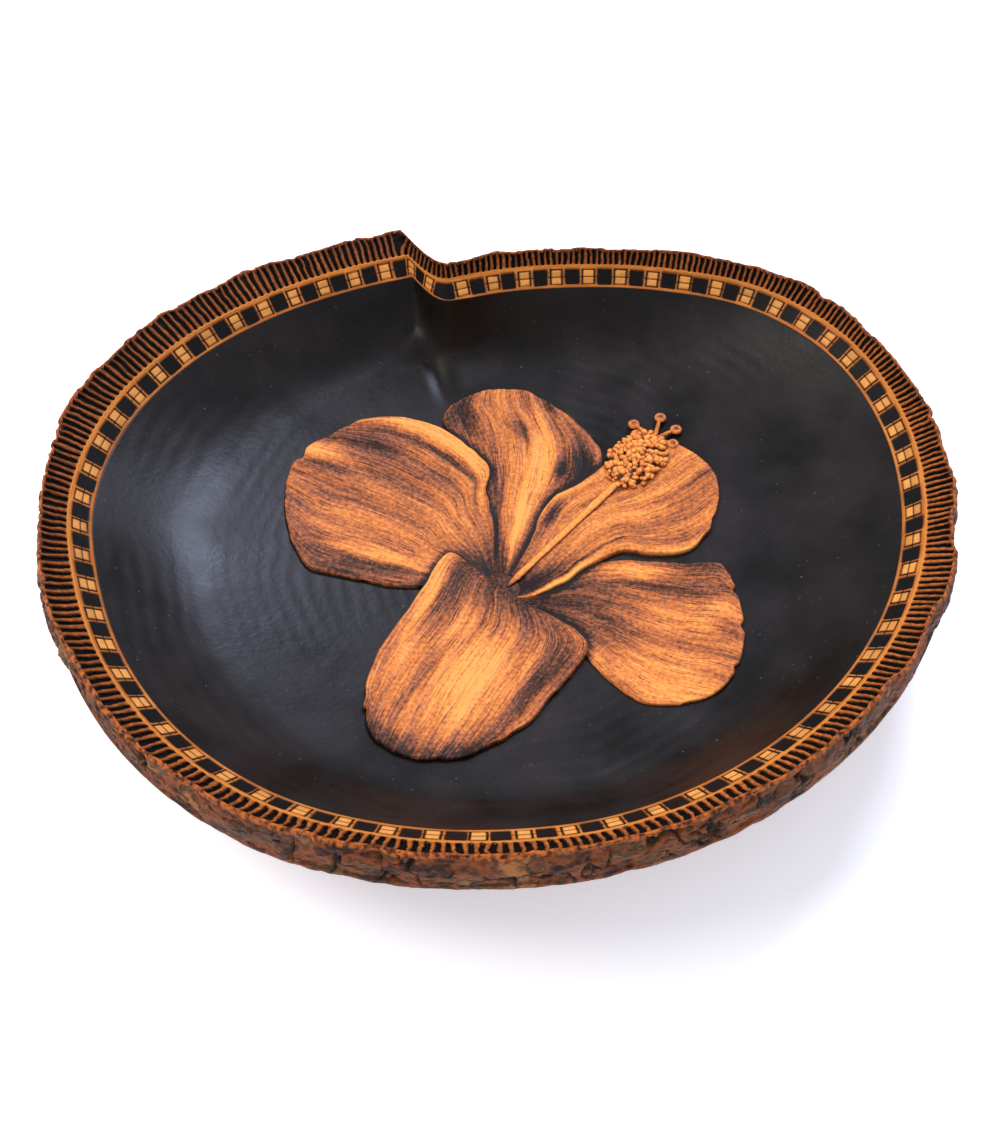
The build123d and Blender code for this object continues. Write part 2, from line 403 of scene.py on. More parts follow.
# Natural bark left on the slab and sealed: reddish brown plates, grey-green weathering, dark
# cracks, and a thin orange layer of inner bark along the top
def makeBark():
    material, tree, shader = newMaterial("sealedNaturalBark", 0.6, 0.18)
    place = addNode(tree, "TexCoord", output="Object")
    # plates about 14 mm across
    plate = addNode(tree, "TexNoise",
                    {"Vector": place, "Scale": 70, "Detail": 6, "Roughness": 0.62})
    plateColour = spreadColours(tree, plate, (
        (0.34, "#140a04"), (0.42, "#47220e"), (0.49, "#8c461a"), (0.56, "#45301a"),
        (0.66, "#a86a34")))
    # weathered patches about 26 mm across
    lichen = addNode(tree, "TexNoise", {"Vector": place, "Scale": 38, "Detail": 5})
    lichenMask = addNode(tree, "MapRange", {0: lichen, 1: 0.52, 2: 0.66, 4: 0.7})
    # mottle and roughness about 2 mm
    fibre = addNode(tree, "TexNoise", {"Vector": place, "Scale": 480, "Detail": 4})
    mottle = addNode(tree, "MapRange", {0: fibre, 1: 0.38, 2: 0.62})
    inner = layColours(tree, "#3e1a08", [(mottle, "#c86a26")])
    colour = layColours(tree, plateColour, [
        (lichenMask, "#3a3320"), ("innerBark", inner), ("crack", "#0d0805")])
    finishShader(tree, shader, colour, fibre, 0.9, 0.0014)
    return material


# Carved hardwood, scorched and oiled: bright orange where bare, dark brown where burnt and where
# shade is painted in. On the petals streaks follow the veins. Each kind of streak is how many cross
# the petal, how many lie along it, and its share of the burning: middling, broad and hair-fine.
petalStreaks = ((64, 3, 0.22), (20, 2, 0.2), (190, 8, 0.24))


def makePetalWood(name, streaks):
    material, tree, shader = newMaterial(name, 0.52, 0.14)
    place = addNode(tree, "TexCoord", output="Object")
    fields, parts = [], []
    if streaks:
        vein = addNode(tree, "UVMap", uv_map="veins")
        for across, along, share in streaks:
            stretch = addNode(tree, "Mapping", {"Vector": vein, "Scale": (along, across, 1)})
            fields.append(addNode(tree, "TexNoise", {
                "Vector": stretch, "Scale": 1, "Detail": 3, "Distortion": 0.4}))
            parts.append(addNode(tree, "MapRange", {
                0: fields[-1], 1: 0.3, 2: 0.7, 3: -share / 2, 4: share / 2}, clamp=False))
        # the finest streaks are burnt right in where they are strongest
        parts.append(addNode(tree, "MapRange", {0: fields[-1], 1: 0.56, 2: 0.68, 4: 0.34}))
    # grit about 1.5 mm, coarser than the real pores so that it shows
    grit = addNode(tree, "TexNoise", {"Vector": place, "Scale": 620, "Detail": 5})
    parts.append(addNode(tree, "MapRange", {
        0: grit, 1: 0.3, 2: 0.7, 3: -0.17, 4: 0.17}, clamp=False))
    # the burning, with the painted highlight and shade laid into it on the petals, column and beads
    burnAndShade = addNode(tree, "Attribute", output="Fac", attribute_name="burnAndShade")
    for part in parts:
        burnAndShade = addNode(tree, "Math", {0: burnAndShade, 1: part}, operation="ADD")
    colour = spreadColours(tree, burnAndShade, (
        (0.0, "#f8a852"), (0.22, "#e88e44"), (0.42, "#c46e38"), (0.6, "#975635"),
        (0.78, "#603824"), (1.0, "#211613")))
    finishShader(tree, shader, colour, fields[0] if fields else grit, 0.2, 0.0004)
    return material


charredTimber = makeCharredTimber()
burntCheck = makeBurntCheck()
burntFlutes = makeBurntFlutes()
naturalBark = makeBark()
petalWood = makePetalWood("scorchedCarvedHardwood", petalStreaks)
antherWood = makePetalWood("scorchedBeadedHardwood", ())
print("materials ready")


# Bowl: hollow, hidden ledge under the borders, and underside, as one closed shell

bowlSizes = {
    "columns": 600,
    "floorRows": 60,
    "wallRows": 46,
    "edgeShare": 0.992,       # one more row just under the wall's edge
    "underRows": 32,
    "underCurve": 0.9,        # below 1 is a fuller underside
    "baseRings": [0.85, 0.6, 0.3],
    "toolMark": 0.10,         # height of the marks left by the gouge and the sander
    "toolSpacing": 7.0,
    "lumpHeight": 0.35,
    "creaseDepth": 1.3,
    "creaseBearing": 106.4,
    "creaseReach": 22.0,      # bearings either side over which it stays sharp
    "creaseHold": 0.4,        # and how far down the wall
    "creaseStart": -30.0,     # bearings before the crease where it begins
}


def makeBowl():
    s, o = bowlSizes, outlineSizes
    bearing = evenBearings(s["columns"])
    angle = np.radians(bearing)
    # floor: circles on the sphere, from the middle out
    share = np.linspace(0, 1, s["floorRows"] + 1)[1:, None]
    radius = o["floorRadius"] * share * np.ones_like(bearing)
    level = floorSurface(radius * np.cos(angle), radius * np.sin(angle))
    floor = ringPoints(bearing, radius, level)
    share = np.linspace(0, 1, s["wallRows"] + 1)[1:-1]
    share = np.concatenate([share, [s["edgeShare"], 1.0]])[:, None]
    fullSpan = o["stepSpanFloor"] - o["stepSpanRim"]
    span = o["stepSpanRim"] + (1 - share) ** o["stepFade"] * fullSpan
    turn = (bearing - s["creaseBearing"] + 180) % 360 - 180
    hold = (share ** -s["creaseHold"] - 1) * (stepShare(bearing, span) + 0.5)
    hold = hold * bump(turn, 0, s["creaseReach"]) * (turn > s["creaseStart"])
    reach = goldenRadius(bearing, span) - o["checkWidth"] + o["stepJump"] * hold
    # height: a curve of the fifth power that leaves the floor at its own slope and bend
    foot = floorSurface(o["floorRadius"], 0.0)
    footSlope = o["floorRadius"] / math.sqrt(o["floorSphere"] ** 2 - o["floorRadius"] ** 2)
    footBend = (1 + footSlope**2) ** 1.5 / o["floorSphere"]
    width = goldenRadius(bearing) - o["checkWidth"] - o["floorRadius"]
    a, b, c = share**3, share**4, share**5
    height = (foot * (1 - 10 * a + 15 * b - 6 * c) + checkFootHeight * (10 * a - 15 * b + 6 * c)
              + footSlope * width * (share - 6 * a + 8 * b - 3 * c)
              + width**2 * footBend * (share**2 - 3 * a + 3 * b - c) / 2
              + o["wallPower"] * (checkFootHeight - foot) * (7 * b - 4 * a - 3 * c))
    wall = ringPoints(bearing, reach * share + o["floorRadius"] * (1 - share), height)
    hollow = np.concatenate([floor, wall])
    # gouge marks: soft rings broken up by noise, on the hollow only
    x, y, z = hollow[..., 0], hollow[..., 1], hollow[..., 2]
    away = np.hypot(x, y)
    wobble = layeredNoise(x / 40, y / 40, z / 40, 11)
    ring = np.sin((away / s["toolSpacing"] + 2.2 * wobble) * 2 * math.pi)
    strength = smoothStep(0.35, 0.7, softNoise(x / 55, y / 55, z / 55, 17))
    lumps = layeredNoise(x / 22, y / 22, z / 22, 23) - 0.5
    fade = np.ones((len(hollow), 1))
    fade[-5:, 0] = [0.75, 0.5, 0.25, 0.05, 0.0]
    marks = (s["toolMark"] * ring * strength + s["lumpHeight"] * lumps) * fade
    # the step's crease runs on a little way into the floor
    run = smoothStep(92, 118, away) * smoothStep(165, 125, away)
    crease = s["creaseDepth"] * run * (bump(turn, 0, 2.2) - 0.6 * bump(turn, -5.0, 4.0))
    hollow[..., 2] += marks - crease
    # ledge under the borders, underside and foot
    timber = fluteEndRadius(bearing) + o["rimLand"]
    ledge = np.stack([ringPoints(bearing, timber + out, height) for out, height in (
        (-0.4, checkFootHeight - 0.6), (-0.4, barkFootHeight + 0.4),
        (o["barkFoot"] - 0.5, barkFootHeight + 0.1))])
    level = np.linspace(1, 0, s["underRows"])[:, None]
    spread = (1 - o["footShare"]) * np.sin(math.pi / 2 * level) ** s["underCurve"]
    span = o["stepSpanRim"] + (1 - level) * fullSpan
    outer = fluteEndRadius(bearing, span) + o["rimLand"] + o["barkFoot"]
    under = ringPoints(bearing, (o["footShare"] + spread) * outer - 0.2,
                       level * (barkFootHeight - 0.1))
    base = under[-1] * np.array(s["baseRings"])[:, None, None]
    points = np.concatenate([hollow, ledge, under, base])
    # poles: the middle of the floor and the middle of the foot
    poles = np.array([[0, 0, o["floorHeight"]], [0, 0, 0]], float)
    bowl = buildMesh("bowlTimber", np.concatenate([points.reshape(-1, 3), poles]),
                     *closedFaces(len(points), s["columns"]))
    charred = np.repeat(np.arange(len(points)) < len(hollow), s["columns"])
    addAttribute(bowl, "charred", np.concatenate([charred, [1.0, 0.0]]))
    finishPiece(bowl, charredTimber, ["bowl_floor", "bowl_wall"])


# Check border: sunk charcoal squares between light cells framed by burnt lines

checkSizes = {
    "squares": 67,
    "firstSquare": 0.30,      # where the pattern starts, in periods from +X
    "columnsPerSquare": 52,
    "slopeLength": 10.6,      # across the band, on its slope
    "bandMiddle": 0.515,
    "squareHalf": 3.95,
    "squareHalfAcross": 4.05,
    "squareCorner": 0.9,
    "squareSink": 0.55,
    "cellHalf": 2.95,
    "cellHalfAcross": 3.6,
    "lineHalf": 0.46,
    "lineHalfThin": 0.36,
    "lineSink": 0.25,
}


def makeCheckBorder():
    s, o = checkSizes, outlineSizes
    columns = s["squares"] * s["columnsPerSquare"]
    bearing = evenBearings(columns)
    # rows lie closer along both edges of the band
    v = np.concatenate([np.linspace(0, 0.17, 6), np.linspace(0.17, 0.86, 13)[1:],
                        np.linspace(0.86, 1.0, 6)[1:]])[:, None]
    golden = goldenRadius(bearing)
    inset = o["checkWidth"] * (1 - v)
    height = checkFootHeight + (goldenHeight - checkFootHeight) * v
    # distance along the golden line, square to it
    along = lengthAt(bearing) - inset * slopeAt(bearing)
    period = rimLength / s["squares"]
    place = along / period + s["firstSquare"]
    number = np.floor(place)
    phase = (place - number - 0.25) * period      # mm from the middle of the square
    lift = (v - s["bandMiddle"]) * s["slopeLength"] + 0 * phase

    def cellRandom(seed):
        spot = number.astype(np.int64) % s["squares"] * 131 + seed * 977
        return randomTable[spot % 65536] - 0.5

    hand = 0.5 * (layeredNoise(place * 3, v * 4, 0 * v, 31) - 0.5)
    # square: distance inside a rectangle with rounded corners
    corner = s["squareCorner"]
    dx = np.abs(phase + 0.5 * cellRandom(1) + hand) - s["squareHalf"] + corner
    dy = np.abs(lift + 0.4 * cellRandom(3) + hand) - s["squareHalfAcross"] + corner
    dx, dy = dx - 0.5 * cellRandom(2), dy - 0.3 * cellRandom(4)
    outside = np.hypot(np.maximum(dx, 0), np.maximum(dy, 0)) - corner
    outside = outside + np.minimum(np.maximum(dx, dy), 0)
    square = 1 - smoothStep(-0.15, 0.15, outside)
    # light cell, half a period on, framed by burnt lines and with one along its middle
    cellPhase = np.where(phase > 0, phase, phase + period) - period / 2
    cx = np.abs(cellPhase + 0.5 * hand) - s["cellHalf"] - 0.4 * cellRandom(5)
    cy = np.abs(lift + 0.3 * cellRandom(6) + 0.7 * hand) - s["cellHalfAcross"]
    cy = cy - 0.4 * cellRandom(7)
    wide, thin = s["lineHalf"], s["lineHalfThin"]
    endLine = (1 - smoothStep(wide - 0.1, wide + 0.15, np.abs(cx))) * (cy < wide)
    sideLine = (1 - smoothStep(thin - 0.1, thin + 0.15, np.abs(cy))) * (cx < wide)
    midLine = 1 - smoothStep(thin - 0.02, thin + 0.2, np.abs(lift + 0.8 * hand))
    faint = 0.75 + 0.25 * smoothStep(0.3, 0.55, softNoise(place * 2.3, v * 3, 0 * v, 37))
    line = np.maximum(np.maximum(endLine, sideLine * faint), midLine) * (1 - square)
    cell = smoothStep(0.0, 0.5, -np.maximum(cx, cy)) * (cx < 0) * (cy < 0)
    # scorch: round the squares, beside the end lines, along the inner edge and in stains
    stains = smoothStep(0.5, 0.75, softNoise(place * 0.9, v * 3, 0 * v, 41))
    scorch = 0.5 * bump(outside, 0.25, 0.35) + 0.25 * bump(np.abs(cx), 0.55, 0.3) * (cy < 0.5)
    scorch = np.clip(scorch + 0.35 * smoothStep(0.06, 0.0, v) + 0.25 * stains, 0, 1)
    height = height - (s["squareSink"] * square + s["lineSink"] * line)
    height = height + 0.12 * (layeredNoise(place * 5, v * 6, 0 * v, 43) - 0.5)
    hidden = [ringPoints(bearing, golden + 1.5, goldenHeight - 0.8),
              ringPoints(bearing, golden - 1.5, checkFootHeight - 0.3),
              ringPoints(bearing, golden - o["checkWidth"] + 0.3, checkFootHeight - 0.5)]
    masks = [("charcoal", square, 0), ("line", line, 0), ("cell", cell, 0), ("scorch", scorch, 0)]
    makeRing("checkBorder", ringPoints(bearing, golden - inset, height), hidden, masks,
             burntCheck, "check_border")


# Fluted border: gouged grooves square to the rim, with rounded ends

fluteSizes = {
    "rows": 19,
    "columnsPerFlute": 10,
    # groove pitch in mm, and how warm the ridges are, at every 30 degrees from +X
    "pitch": [3.0, 2.9, 2.8, 3.0, 3.3, 3.5, 3.6, 3.8, 3.9, 3.9, 3.8, 3.3],
    "warmth": [0.9, 0.75, 0.6, 0.5, 0.45, 0.45, 0.5, 0.65, 0.85, 0.9, 0.95, 0.95],
    "bareStrip": 1.0,         # golden wood before the grooves start
    "grooveShare": 0.33,      # half the groove's width, as a share of the pitch
    "grooveDepth": 1.6,
}


def makeFlutedBorder():
    s, o = fluteSizes, outlineSizes
    # grooves counted along the golden line, and the count made whole
    finePhase = np.cumsum(fineSteps / roundList(s["pitch"], fineBearing[:-1]))
    finePhase = np.concatenate([[0], finePhase])
    flutes = int(round(finePhase[-1]))
    finePhase *= flutes / finePhase[-1]
    columns = flutes * s["columnsPerFlute"]
    bearing = np.interp(np.arange(columns) / s["columnsPerFlute"], finePhase, fineBearing)
    golden = goldenRadius(bearing)
    end = fluteEndRadius(bearing) + o["fluteReach"] - raggedEdge(bearing)
    v = np.linspace(0, 1, s["rows"])[:, None]
    width = end - golden
    rise = rimHeight - goldenHeight
    along = lengthAt(bearing) + width * v * slopeAt(bearing)
    place = np.interp(along % rimLength, fineLength, finePhase)
    place = place + 0.55 * (layeredNoise(place / 6, v * 1.5, 0 * v, 51) - 0.5)
    place = place + 0.30 * (layeredNoise(place / 1.5, v * 3, 0 * v, 53) - 0.5)
    number = np.floor(place).astype(np.int64)
    pitch = roundList(s["pitch"], bearing)

    def fluteRandom(seed):
        return randomTable[(number % flutes * 193 + seed * 3571) % 65536] - 0.5

    # groove: a slot with round ends, wider outwards; distances in mm up the border's slope
    slope = np.hypot(width, rise)
    distance = v * slope
    half = s["grooveShare"] * pitch * (0.92 + 0.22 * v) * (1 + 0.25 * fluteRandom(1))
    front = smoothStep(0.3, 0.8, -np.sin(np.radians(bearing)))
    start = s["bareStrip"] * (1 - 0.5 * front) + 0.35 * fluteRandom(2) + half
    stop = slope + 0.5 + 0.5 * front + 1.2 * fluteRandom(3) - half
    past = np.maximum(start - distance, 0) + np.maximum(distance - stop, 0)
    reach = half - np.hypot(np.abs(place - number - 0.5) * pitch, past)
    rough = layeredNoise(place * 3, v * 9, 0 * v, 57) - 0.5
    groove = smoothStep(-0.08, 0.28, reach + 0.18 * rough)
    height = goldenHeight + rise * v - s["grooveDepth"] * smoothStep(-0.1, 0.9, reach)
    lumps = layeredNoise(place, v * 5, 0 * v, 61) - 0.5
    height = np.minimum(height + 0.25 * lumps * smoothStep(0, 0.2, v), rimHeight)
    bare = 1 - smoothStep(0.7, 1.3, distance)
    warm = roundList(s["warmth"], bearing) + 0.35 * fluteRandom(5) - 0.25 * smoothStep(0.5, 1, v)
    warm = np.clip(warm + 0.5 * (layeredNoise(place * 2, v * 5, 0 * v, 63) - 0.5), 0, 1)
    rim = 0.6 * smoothStep(slope - 0.6, slope, distance)
    hidden = [ringPoints(bearing, end + 0.2, rimHeight - 0.25),
              ringPoints(bearing, end + 0.2, goldenHeight + 0.2),
              ringPoints(bearing, golden + 1.0, goldenHeight - 1.6)]
    masks = [("groove", groove, 0), ("bare", bare, 0), ("warmth", warm, 0.4), ("rimWood", rim, 0.8)]
    makeRing("flutedBorder", ringPoints(bearing, golden + width * v, height), hidden, masks,
             burntFlutes, "fluted_border")


# Bark: a rough band round the slab, cracked and lumpy

barkSizes = {
    "columns": 1700,
    "rows": 46,
    "top": 1.0,               # thickness at the top edge, at the belly and at the foot
    "belly": 3.4,
    "bellyDrop": 9.0,
    "foot": 2.5,
    "crackDepth": 2.2,
    "lump": 4.0,
    "fineLump": 1.6,
    "hem": 5.0,               # how far the lower edge is broken away
    "overhang": 3.0,          # how far the bark hangs down over the underside
    "innerBark": 1.5,         # height of the orange layer at the top, on the front
    "knotBearing": 309.0,     # a dark loop on the front right
    "knotDrop": 12.0,
    "knotRadius": 3.4,
    "knotSwell": 1.2,
}


def makeBarkEdge():
    s, o = barkSizes, outlineSizes
    bearing = evenBearings(s["columns"])
    angle = np.radians(bearing)
    ragged = raggedEdge(bearing)
    timber = fluteEndRadius(bearing) + o["fluteReach"] + 0.2 - ragged
    x, y = timber * np.cos(angle), timber * np.sin(angle)
    full = rimHeight - barkFootHeight + s["overhang"]
    fall = np.concatenate([[0.0, 0.4], np.linspace(1.0, full, s["rows"])])[:, None]
    thick = np.interp(fall, [0, s["bellyDrop"], full], [s["top"], s["belly"], s["foot"]])
    # plates and lumps
    lumps = layeredNoise(x / 15, y / 15, fall / 10, 77, 5) - 0.5
    fine = layeredNoise(x / 3.2, y / 3.2, fall / 2.6, 79, 3) - 0.5
    # cracks: where two soft fields cross their middle values
    crossOne = np.abs(layeredNoise(x / 17, y / 17, fall / 34, 83, 4) - 0.5)
    crossTwo = np.abs(layeredNoise(x / 24, y / 24, fall / 9, 89, 4) - 0.5)
    crack = np.maximum(1 - smoothStep(0.006, 0.028, crossOne),
                       0.8 * (1 - smoothStep(0.004, 0.02, crossTwo)))
    crack = crack * smoothStep(0.3, 0.55, softNoise(x / 30, y / 30, fall / 20, 91))
    crack = crack * smoothStep(1.0, 3.0, fall)
    # knot: a loop of crack round a swelling
    knotAlong = np.radians(bearing - s["knotBearing"])
    knotAlong = knotAlong * np.interp(s["knotBearing"], bearing, timber)
    knotAway = np.hypot(knotAlong / 1.5, fall - s["knotDrop"])
    crack = np.maximum(crack, 0.95 * bump(knotAway, s["knotRadius"], 0.9))
    outward = (thick + s["lump"] * lumps * smoothStep(-1, 5, fall) + s["fineLump"] * fine
               + s["knotSwell"] * bump(knotAway, 0, 5.5) - s["crackDepth"] * crack)
    outward = np.clip(outward, 0.4, thick + 0.85 * ragged)
    low = smoothStep(full - 7, full - 2, fall)
    outward = np.maximum(outward, low * (s["foot"] + ragged - 0.2))
    # the lower edge is broken away here and there
    hem = np.maximum(s["hem"] * (layeredNoise(x / 9, y / 9, 0 * x, 97, 4) - 0.4), 0)
    height = rimHeight - fall + hem * smoothStep(full - 6, full, fall)
    height = height - 0.5 * (1 - smoothStep(0, 1.2, fall)) * (0.5 + fine)
    # inner bark shows along the top, deepest on the front, and at the broken lower edge
    front = 0.35 + 0.65 * smoothStep(0.1, 0.8, -np.sin(angle))
    depth = s["innerBark"] * front * (0.5 + 1.2 * layeredNoise(x / 12, y / 12, 0 * x, 101))
    inner = 1 - smoothStep(depth - 0.8, depth + 0.8, fall + 2.2 * fine)
    inner = inner * smoothStep(-0.1, 0.5, fall + 1.2 * front)
    inner = np.maximum(inner, 0.8 * smoothStep(full - 0.8, full - 0.2, fall))
    hidden = [ringPoints(bearing, timber + 0.2, barkFootHeight - s["overhang"] + 0.15 + hem),
              ringPoints(bearing, timber - 0.3, goldenHeight),
              ringPoints(bearing, timber - 0.2, rimHeight - 0.05)]
    masks = [("crack", np.clip(crack, 0, 1), 0), ("innerBark", inner, 0.8)]
    makeRing("barkEdge", ringPoints(bearing, timber + outward, height), hidden, masks,
             naturalBark, "bark_edge")


# Petals: each is a patch stretched between its two edges and its tip, from the throat out.
# They are listed from the uppermost down. Points are mm in plan. Heights are over the floor, at edge a,
# edge b and the middle. Marks add to the burning, and some are painted highlight on a lift with
# painted shade beside it; lifts add to the height. Each has its place along and across, its
# length and width as shares of the petal, and its amount. Notches are place along the tip, depth
# in mm and width. Tone is how burnt the petal is as a whole.

petalShapes = {
    "petal_front": {
        "edgeA": [(-2, -12), (-14, -2), (-22, 4), (-28, 0), (-38, -21), (-50, -46), (-56, -66)],
        "tip": [(-57, -84), (-52, -99), (-41, -107), (-28, -110), (-15, -108), (0, -99)],
        "edgeB": [(8, -22), (24, -33), (35, -42), (38, -51), (32, -62), (23, -74), (13, -88)],
        "heights": (3.0, 2.9, 2.2),
        "marks": [(0.0, 0.5, 0.26, 1.0, 0.75), (0.5, 0.95, 0.3, 0.2, 0.35),
                  (0.62, 0.45, 0.3, 0.3, -0.25), (1.0, 0.5, 0.07, 0.8, 0.4),
                  (0.4, 0.2, 0.16, 0.1, 0.25), (0.35, 0.04, 0.25, 0.07, -0.4),
                  (0.45, 0.3, 0.1, 0.05, -0.3), (0.95, 0.8, 0.1, 0.12, 0.3)],
        "lifts": [(0.2, 0.0, 0.16, 0.12, 1.0), (0.55, 0.5, 0.3, 0.3, 0.6)],
        "notches": [(0.04, 2.0, 0.03), (0.62, 1.5, 0.05)],
        "tone": 0.42,
        "seed": 1,
    },
    "petal_back_right": {
        "edgeA": [(3, -11), (13, 10), (19, 27), (26, 38), (40, 46), (49, 54), (58, 63)],
        "tip": [(68, 67), (80, 66), (91, 59), (100, 48), (103, 34), (101, 21), (96, 10)],
        "edgeB": [(6, -20), (16, -19), (28, -13), (40, -4), (56, 4), (71, 1), (86, 1)],
        "heights": (2.5, 2.9, 1.7),
        "marks": [(0.0, 0.5, 0.16, 1.0, 0.6), (0.22, 0.97, 0.2, 0.09, -0.7),
                  (0.3, 0.85, 0.25, 0.03, 0.45), (0.85, 1.0, 0.15, 0.05, -0.5),
                  (0.8, 0.9, 0.14, 0.05, 0.3), (0.42, 0.12, 0.08, 0.07, 0.55),
                  (0.5, 0.02, 0.2, 0.06, -0.3), (0.22, 0.7, 0.15, 0.14, 0.35),
                  (0.6, 0.55, 0.25, 0.2, -0.05)],
        "lifts": [(0.3, 0.97, 0.25, 0.09, 0.45), (0.5, 0.0, 0.3, 0.1, 0.6)],
        "notches": [(0.9, 1.2, 0.04)],
        "tone": 0.42,
        "seed": 2,
    },
    "petal_left": {
        "edgeA": [(-3, -7), (-3, 19), (-7, 42), (-6, 56), (-20, 71), (-35, 80), (-52, 83)],
        "tip": [(-70, 79), (-82, 70), (-94, 59), (-101, 44), (-101, 25), (-97, 6)],
        "edgeB": [(-5, -13), (-20, -14), (-37, -15), (-51, -15), (-64, -13), (-77, -11),
                  (-88, -8)],
        "heights": (2.7, 2.0, 2.0),
        "marks": [(0.0, 0.5, 0.18, 1.0, 0.5), (0.6, 0.03, 0.3, 0.06, -0.55),
                  (0.62, 0.13, 0.3, 0.02, 0.35), (0.97, 0.36, 0.1, 0.06, -0.5),
                  (0.93, 0.44, 0.1, 0.05, 0.45), (0.55, 0.93, 0.3, 0.08, 0.3),
                  (0.5, 0.83, 0.3, 0.025, -0.45), (0.85, 0.2, 0.14, 0.12, 0.2),
                  (0.8, 0.55, 0.2, 0.08, 0.15)],
        "lifts": [(0.6, 0.0, 0.3, 0.1, 0.7), (0.55, 0.83, 0.35, 0.05, 0.7),
                  (0.97, 0.38, 0.12, 0.08, 0.8)],
        "notches": [(0.42, 2.2, 0.035)],
        "tone": 0.52,
        "seed": 3,
    },
    "petal_back": {
        "edgeA": [(-2, -8), (-10, 15), (-15, 42), (-19, 58), (-24, 72), (-29, 84)],
        "tip": [(-25, 92), (-14, 99), (-2, 102), (12, 101), (24, 94), (36, 84)],
        "edgeB": [(6, -6), (22, 12), (33, 28), (43, 40), (49, 50), (50, 61), (45, 73)],
        "heights": (1.4, 1.3, 2.1),
        "marks": [(0.0, 0.5, 0.14, 1.0, 0.5), (0.35, 0.5, 0.35, 0.09, -0.5),
                  (0.7, 0.62, 0.2, 0.09, -0.35), (0.4, 0.25, 0.25, 0.07, 0.35),
                  (0.78, 0.45, 0.07, 0.06, 0.5), (0.6, 0.88, 0.18, 0.12, 0.5),
                  (0.62, 0.7, 0.05, 0.04, 0.6), (0.9, 0.1, 0.12, 0.12, 0.35),
                  (0.97, 0.75, 0.06, 0.06, 0.4)],
        "lifts": [(0.4, 0.5, 0.35, 0.12, 0.9), (0.85, 0.3, 0.2, 0.2, 0.5)],
        "notches": [],
        "tone": 0.54,
        "seed": 4,
    },
    "petal_right": {
        "edgeA": [(8, -18), (22, -10), (38, -2), (52, 0), (66, -2), (84, -6), (98, -8)],
        "tip": [(103, -16), (105, -32), (105, -48), (99, -68), (88, -80), (74, -84)],
        "edgeB": [(9, -25), (17, -33), (28, -44), (38, -56), (48, -71), (59, -81)],
        "heights": (1.4, 1.4, 2.0),
        "marks": [(0.0, 0.5, 0.3, 1.0, 0.65), (0.3, 0.95, 0.25, 0.08, -0.5),
                  (0.85, 0.75, 0.25, 0.22, -0.3), (0.55, 0.1, 0.12, 0.06, -0.45),
                  (0.65, 0.2, 0.2, 0.04, 0.4), (0.8, 0.08, 0.15, 0.06, 0.2),
                  (0.95, 0.42, 0.08, 0.06, 0.35), (0.9, 0.3, 0.12, 0.05, -0.3),
                  (0.45, 0.5, 0.15, 0.2, 0.15)],
        "lifts": [(0.8, 0.1, 0.2, 0.08, 0.8), (0.85, 0.35, 0.2, 0.06, 0.5),
                  (0.8, 0.7, 0.25, 0.1, 0.5)],
        "notches": [(0.12, 2.4, 0.02), (0.36, 1.8, 0.03), (0.62, 1.6, 0.025)],
        "tone": 0.46,
        "seed": 5,
    },
}
petalSizes = {
    "rowsAlong": 150,
    "columnsAcross": 120,
    "foldHeight": 0.22,
    "veinHeight": 0.2,
    "edgeRound": 0.9,         # width of the rounded border
    "edgeWander": 0.9,        # how far the outline strays
    "tipLength": 90,          # mm that the last rows stand for, where the border is measured
    "sink": 0.5,              # how far the underside lies in the floor
    "shade": 0.65,            # painted shade along the edge of a petal that lies over this one
    "shadeWidth": 2.6,
}


def smoothPath(spots, share):
    # Catmull-Rom curve through the spots, at shares of the length of the straight runs
    spots = np.array(spots, float)
    knots = np.concatenate([[0], np.cumsum(np.hypot(*np.diff(spots, axis=0).T))])
    place = np.interp(np.asarray(share) * knots[-1], knots, np.arange(len(spots)))
    index = np.clip(np.floor(place).astype(int), 0, len(spots) - 2)
    t = (place - index)[..., None]
    padded = np.concatenate([[2 * spots[0] - spots[1]], spots, [2 * spots[-1] - spots[-2]]])
    a, b, c, d = (padded[index + k] for k in range(4))
    return b + 0.5 * t * (c - a + t * (2 * a - 5 * b + 4 * c - d + t * (3 * b - a - 3 * c + d)))


def petalPlan(shape, u, v):
    # patch: the straight blend of the two edges at u, plus u times what the tip adds to it
    edgeA = smoothPath(shape["edgeA"] + shape["tip"][:1], u)[:, None]
    edgeB = smoothPath(shape["edgeB"] + shape["tip"][-1:], u)[:, None]
    tip = smoothPath(shape["tip"], v)
    for spot, depth, width in shape["notches"]:
        inward = -tip / np.hypot(*tip.T)[:, None]
        tip = tip + inward * (depth * bump(v, spot, width))[:, None]
    blend = (1 - v)[None, :, None] * edgeA + v[None, :, None] * edgeB
    added = tip - ((1 - v)[:, None] * edgeA[-1] + v[:, None] * edgeB[-1])
    return blend + (u**1.6)[:, None, None] * added[None]


def addSpots(field, spots, grid, cross):
    # each spot adds its amount, fading along and across the petal as a bump does
    for along, acrossAt, length, width, amount in spots:
        field = field + amount * bump(grid, along, length) * bump(cross, acrossAt, width)
    return field


